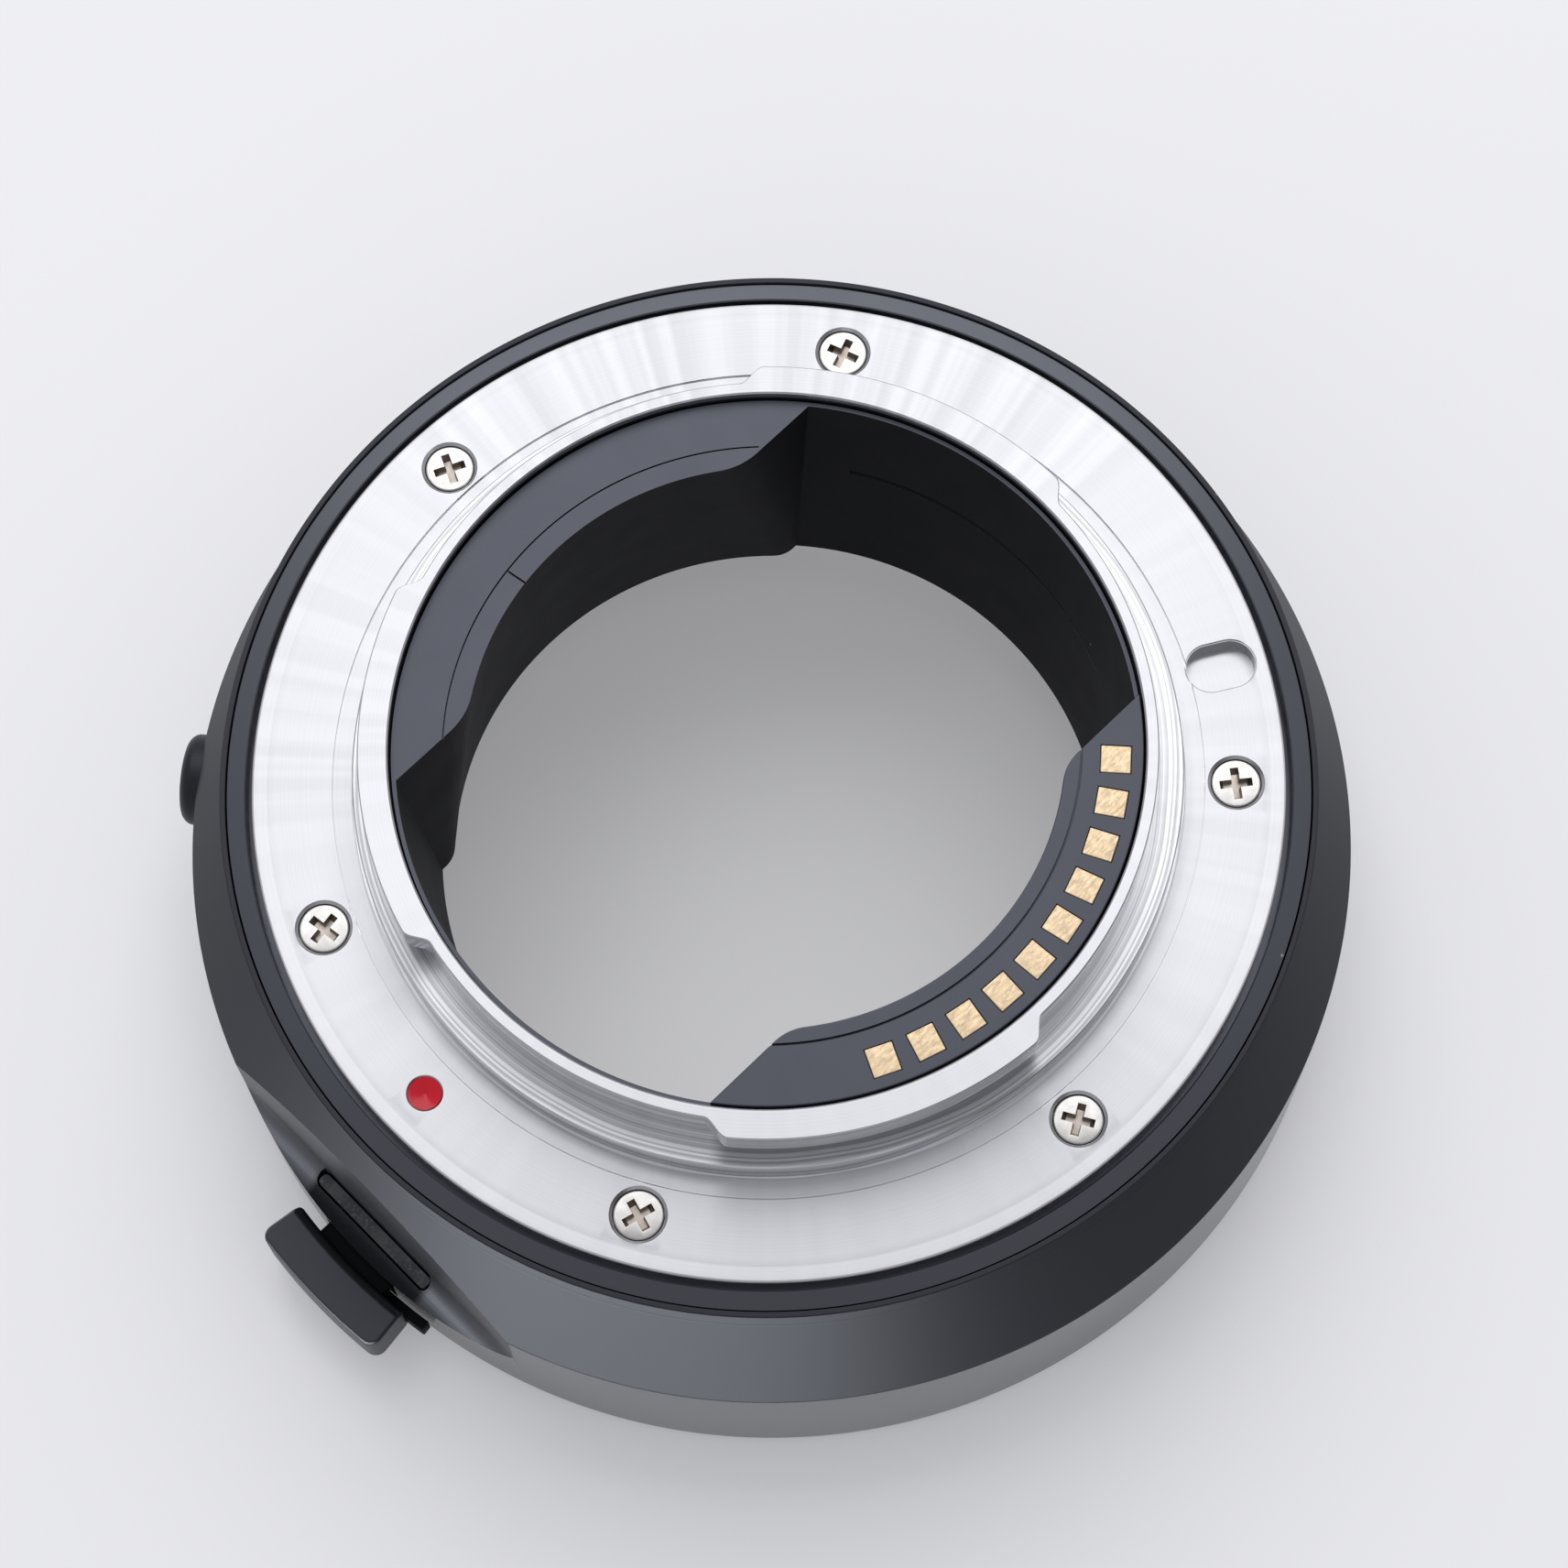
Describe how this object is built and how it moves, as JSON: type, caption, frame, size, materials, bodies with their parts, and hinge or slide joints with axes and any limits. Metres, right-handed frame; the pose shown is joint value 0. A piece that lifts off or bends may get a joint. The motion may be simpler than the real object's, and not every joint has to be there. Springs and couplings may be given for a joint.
{
  "type": "lens mount adapter",
  "caption": "Short flared black barrel with a bright bayonet ring at each end, which carries a lens on a camera and passes its contacts through.",
  "frame": {"origin": "on the optical axis, in the lens-side face", "axes": "+Z along the optical axis to the camera side, +Y up in use, the release slider on -X"},
  "size_m": [0.079, 0.075, 0.0301],
  "materials": {
    "black_anodised": "satin black anodised",
    "bright_metal": "turned, bright plated",
    "plated_steel": "nickel plated",
    "spring_steel": "bright wire and strip",
    "black_moulding": "fine matte",
    "slider_plastic": "satin",
    "switch_plastic": "moulded",
    "gold_plate": "gold plated",
    "red_enamel": "gloss enamel",
    "polyimide": "amber film",
    "board_laminate": "green solder mask",
    "chip_resin": "moulded resin"
  },
  "bodies": {
    "body": {"outer_barrel": "black_anodised", "lens_index_dot": "red_enamel", "mount_frame": "black_anodised", "frame_screws": "plated_steel", "camera_mount_ring": "bright_metal", "camera_mount_screws": "plated_steel", "camera_index_dot": "red_enamel", "light_baffle": "black_moulding", "baffle_screws": "plated_steel", "camera_contact_block": "black_moulding", "camera_contacts": "gold_plate", "camera_contact_flex": "polyimide", "control_board": "board_laminate", "board_screws": "plated_steel", "controller_chip": "chip_resin", "memory_chip": "chip_resin", "lens_mount_ring": "bright_metal", "lens_mount_screws": "plated_steel", "bayonet_springs": "spring_steel", "lens_contact_block": "black_moulding", "contact_block_screws": "plated_steel", "pin_sockets": "gold_plate", "lens_contact_board": "board_laminate", "lens_contact_flex": "polyimide", "button_switch": "switch_plastic"},
    "release": {"release_slider": "slider_plastic", "slider_carriage": "spring_steel", "lens_lock_pin": "plated_steel", "lock_pin_spring": "spring_steel"},
    "button": {"side_button": "black_anodised"},
    "contact_1": {"lens_contact_pin_1": "gold_plate"},
    "contact_2": {"lens_contact_pin_2": "gold_plate"},
    "contact_3": {"lens_contact_pin_3": "gold_plate"},
    "contact_4": {"lens_contact_pin_4": "gold_plate"},
    "contact_5": {"lens_contact_pin_5": "gold_plate"},
    "contact_6": {"lens_contact_pin_6": "gold_plate"},
    "contact_7": {"lens_contact_pin_7": "gold_plate"},
    "contact_8": {"lens_contact_pin_8": "gold_plate"}
  },
  "joints": [
    {"name": "release_slide", "type": "slide", "parent": "body", "child": "release", "axis": [0, 0, 1], "range_m": [-0.0018, 0.0004], "stiffness_N_per_m": 150, "springref_m": -0.0018, "deforming": ["lock_pin_spring"]},
    {"name": "button_press", "type": "slide", "parent": "body", "child": "button", "axis": [0.6293, -0.7771, 0], "range_m": [0, 0.0008], "stiffness_N_per_m": 200, "springref_m": -0.002},
    {"name": "contact_press_1", "type": "slide", "parent": "body", "child": "contact_1", "axis": [0, 0, 1], "range_m": [0, 0.0008], "stiffness_N_per_m": 60, "springref_m": -0.001},
    {"name": "contact_press_2", "type": "slide", "parent": "body", "child": "contact_2", "axis": [0, 0, 1], "range_m": [0, 0.0008], "stiffness_N_per_m": 60, "springref_m": -0.001},
    {"name": "contact_press_3", "type": "slide", "parent": "body", "child": "contact_3", "axis": [0, 0, 1], "range_m": [0, 0.0008], "stiffness_N_per_m": 60, "springref_m": -0.001},
    {"name": "contact_press_4", "type": "slide", "parent": "body", "child": "contact_4", "axis": [0, 0, 1], "range_m": [0, 0.0008], "stiffness_N_per_m": 60, "springref_m": -0.001},
    {"name": "contact_press_5", "type": "slide", "parent": "body", "child": "contact_5", "axis": [0, 0, 1], "range_m": [0, 0.0008], "stiffness_N_per_m": 60, "springref_m": -0.001},
    {"name": "contact_press_6", "type": "slide", "parent": "body", "child": "contact_6", "axis": [0, 0, 1], "range_m": [0, 0.0008], "stiffness_N_per_m": 60, "springref_m": -0.001},
    {"name": "contact_press_7", "type": "slide", "parent": "body", "child": "contact_7", "axis": [0, 0, 1], "range_m": [0, 0.0008], "stiffness_N_per_m": 60, "springref_m": -0.001},
    {"name": "contact_press_8", "type": "slide", "parent": "body", "child": "contact_8", "axis": [0, 0, 1], "range_m": [0, 0.0008], "stiffness_N_per_m": 60, "springref_m": -0.001}
  ]
}
